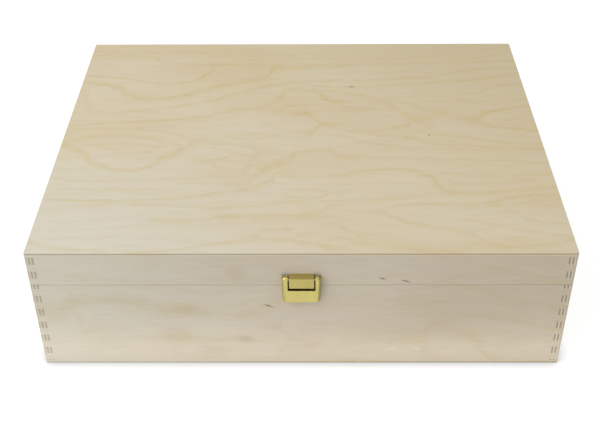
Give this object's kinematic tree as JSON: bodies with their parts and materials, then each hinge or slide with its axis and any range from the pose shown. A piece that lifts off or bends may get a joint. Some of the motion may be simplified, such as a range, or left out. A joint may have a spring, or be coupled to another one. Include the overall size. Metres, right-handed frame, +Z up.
{
  "type": "hinged wooden storage box",
  "caption": "Shallow birch plywood box with finger-jointed corners, a hinged lid and a small sprung brass catch at the front.",
  "frame": {"origin": "centre of the underside, on the surface that the box stands on", "axes": "+X along the front to the right, +Y from the catch at the front to the hinges at the back, +Z up through the lid"},
  "size_m": [0.4, 0.3304, 0.111],
  "materials": {
    "birch_plywood_wall": "sanded bare birch plywood, five plies",
    "birch_plywood_sheet": "sanded bare birch plywood, three plies",
    "catch_brass": "pressed steel, bright brass plating",
    "hinge_brass": "rolled steel, brass plating",
    "plated_fixings": "brass-plated steel pins and nails",
    "spring_steel": "drawn spring wire"
  },
  "bodies": {
    "box": {"body_front_panel": "birch_plywood_wall", "body_back_panel": "birch_plywood_wall", "body_left_panel": "birch_plywood_wall", "body_right_panel": "birch_plywood_wall", "bottom_panel": "birch_plywood_sheet", "left_hinge_body_leaf": "hinge_brass", "right_hinge_body_leaf": "hinge_brass", "left_hinge_pin": "hinge_brass", "right_hinge_pin": "hinge_brass", "left_hinge_body_screws": "hinge_brass", "right_hinge_body_screws": "hinge_brass", "catch_strike_plate": "catch_brass", "catch_strike_nails": "plated_fixings"},
    "lid": {"lid_front_panel": "birch_plywood_wall", "lid_back_panel": "birch_plywood_wall", "lid_left_panel": "birch_plywood_wall", "lid_right_panel": "birch_plywood_wall", "lid_top_panel": "birch_plywood_sheet", "left_hinge_lid_leaf": "hinge_brass", "right_hinge_lid_leaf": "hinge_brass", "left_hinge_lid_screws": "hinge_brass", "right_hinge_lid_screws": "hinge_brass", "catch_hood_plate": "catch_brass", "catch_hood_nails": "plated_fixings", "catch_spring": "spring_steel"},
    "hasp": {"catch_hasp": "catch_brass", "catch_pin": "plated_fixings"}
  },
  "joints": [
    {"name": "lid_hinge", "type": "hinge", "parent": "box", "child": "lid", "pos_m": [0, 0.1623, 0.0804], "axis": [-1, 0, 0], "range_deg": [0, 185]},
    {"name": "hasp_turn", "type": "hinge", "parent": "lid", "child": "hasp", "pos_m": [0, -0.1632, 0.08845], "axis": [-1, 0, 0], "range_deg": [0, 95], "stiffness_Nm_per_rad": 0.008, "springref_deg": -45.84, "deforming": ["catch_spring"]}
  ]
}
